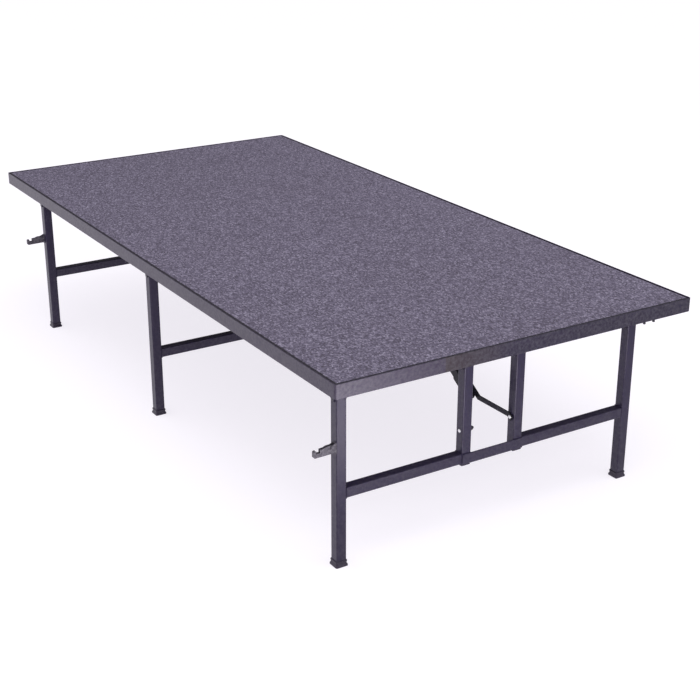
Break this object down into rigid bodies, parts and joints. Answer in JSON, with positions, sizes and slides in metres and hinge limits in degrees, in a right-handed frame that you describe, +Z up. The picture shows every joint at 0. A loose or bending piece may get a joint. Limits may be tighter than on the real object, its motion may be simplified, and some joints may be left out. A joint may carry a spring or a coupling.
{
  "type": "stage riser platform",
  "caption": "Rectangular carpeted stage riser with a black steel edge frame, on leg frames that fold flat under the deck, each held open by a jointed knee brace.",
  "frame": {"origin": "floor level, under the middle of the overall footprint, side hooks included", "axes": "+Z up, +Y along the deck's long side away from the end with the first leg frame, +X along the short side away from the side hooks"},
  "size_m": [1.277, 2.438, 0.53],
  "materials": {
    "carpet": "heathered short loop pile",
    "plywood": "plywood, underside stained black",
    "powder_black": "semi-gloss powder coat",
    "brace_steel": "semi-gloss black paint",
    "foot_plastic": "moulded, matt",
    "hook_steel": "grey enamel, worn",
    "zinc": "bright zinc plate"
  },
  "bodies": {
    "deck": {"carpet": "carpet", "deck_panel": "plywood", "rail_front_left": "powder_black", "rail_front_right": "powder_black", "rail_left": "powder_black", "rail_right": "powder_black", "rail_back": "powder_black", "cross_member_b": "powder_black", "cross_member_c": "powder_black", "ribs": "powder_black", "corner_gussets": "powder_black", "deck_screws": "zinc", "joining_bolts": "powder_black", "hinge_brackets_a": "powder_black", "hinge_pins_a": "powder_black", "brace_bracket_a": "brace_steel", "hinge_brackets_b": "powder_black", "hinge_pins_b": "powder_black", "brace_bracket_b": "brace_steel", "hinge_brackets_c": "powder_black", "hinge_pins_c": "powder_black", "brace_bracket_c": "brace_steel"},
    "leg_frame_a": {"leg_left_a": "powder_black", "leg_right_a": "powder_black", "posts_a": "powder_black", "crossbars_a": "powder_black", "post_strap_a": "powder_black", "feet_a": "foot_plastic", "brace_bolts_a": "zinc", "hook_plate_a": "hook_steel", "hook_pin_a": "hook_steel"},
    "brace_upper_a": {"brace_channel_a": "brace_steel"},
    "brace_lower_a": {"brace_arms_a": "brace_steel", "knuckle_rivets_a": "zinc"},
    "leg_frame_b": {"leg_left_b": "powder_black", "leg_right_b": "powder_black", "posts_b": "powder_black", "crossbars_b": "powder_black", "post_strap_b": "powder_black", "feet_b": "foot_plastic", "brace_bolts_b": "zinc"},
    "brace_upper_b": {"brace_channel_b": "brace_steel"},
    "brace_lower_b": {"brace_arms_b": "brace_steel", "knuckle_rivets_b": "zinc"},
    "leg_frame_c": {"leg_left_c": "powder_black", "leg_right_c": "powder_black", "posts_c": "powder_black", "crossbars_c": "powder_black", "post_strap_c": "powder_black", "feet_c": "foot_plastic", "brace_bolts_c": "zinc", "hook_plate_c": "hook_steel", "hook_pin_c": "hook_steel"},
    "brace_upper_c": {"brace_channel_c": "brace_steel"},
    "brace_lower_c": {"brace_arms_c": "brace_steel", "knuckle_rivets_c": "zinc"},
    "hook_a": {"hook_arm_a": "hook_steel"},
    "hook_c": {"hook_arm_c": "hook_steel"}
  },
  "joints": [
    {"name": "leg_fold_a", "type": "hinge", "parent": "deck", "child": "leg_frame_a", "pos_m": [-0.07075, -1.197, 0.482], "axis": [1, 0, 0], "range_deg": [0, 90]},
    {"name": "brace_upper_swing_a", "type": "hinge", "parent": "deck", "child": "brace_upper_a", "pos_m": [-0.07075, -0.90233, 0.482], "axis": [1, 0, 0], "range_deg": [-32.9, 0]},
    {"name": "brace_lower_swing_a", "type": "hinge", "parent": "leg_frame_a", "child": "brace_lower_a", "pos_m": [-0.07075, -1.197, 0.295], "axis": [1, 0, 0], "range_deg": [0, 58.1]},
    {"name": "leg_fold_b", "type": "hinge", "parent": "deck", "child": "leg_frame_b", "pos_m": [-0.07075, -0.066, 0.482], "axis": [-1, 0, 0], "range_deg": [0, 90]},
    {"name": "brace_upper_swing_b", "type": "hinge", "parent": "deck", "child": "brace_upper_b", "pos_m": [-0.07075, -0.36067, 0.482], "axis": [-1, 0, 0], "range_deg": [-32.9, 0]},
    {"name": "brace_lower_swing_b", "type": "hinge", "parent": "leg_frame_b", "child": "brace_lower_b", "pos_m": [-0.07075, -0.066, 0.295], "axis": [-1, 0, 0], "range_deg": [0, 58.1]},
    {"name": "leg_fold_c", "type": "hinge", "parent": "deck", "child": "leg_frame_c", "pos_m": [-0.07075, 0.875, 0.482], "axis": [-1, 0, 0], "range_deg": [0, 90]},
    {"name": "brace_upper_swing_c", "type": "hinge", "parent": "deck", "child": "brace_upper_c", "pos_m": [-0.07075, 0.58034, 0.482], "axis": [-1, 0, 0], "range_deg": [-32.9, 0]},
    {"name": "brace_lower_swing_c", "type": "hinge", "parent": "leg_frame_c", "child": "brace_lower_c", "pos_m": [-0.07075, 0.875, 0.295], "axis": [-1, 0, 0], "range_deg": [0, 58.1]},
    {"name": "hook_swing_a", "type": "hinge", "parent": "leg_frame_a", "child": "hook_a", "pos_m": [-0.5835, -1.205, 0.355], "axis": [0, 1, 0], "range_deg": [0, 85]},
    {"name": "hook_swing_c", "type": "hinge", "parent": "leg_frame_c", "child": "hook_c", "pos_m": [-0.5835, 0.883, 0.355], "axis": [0, 1, 0], "range_deg": [0, 85]}
  ],
  "couplings": [
    {"joint": "brace_upper_swing_a", "follows": "leg_fold_a", "ratio": -0.36},
    {"joint": "brace_lower_swing_a", "follows": "leg_fold_a", "ratio": 0.64},
    {"joint": "brace_upper_swing_b", "follows": "leg_fold_b", "ratio": -0.36},
    {"joint": "brace_lower_swing_b", "follows": "leg_fold_b", "ratio": 0.64},
    {"joint": "brace_upper_swing_c", "follows": "leg_fold_c", "ratio": -0.36},
    {"joint": "brace_lower_swing_c", "follows": "leg_fold_c", "ratio": 0.64}
  ]
}
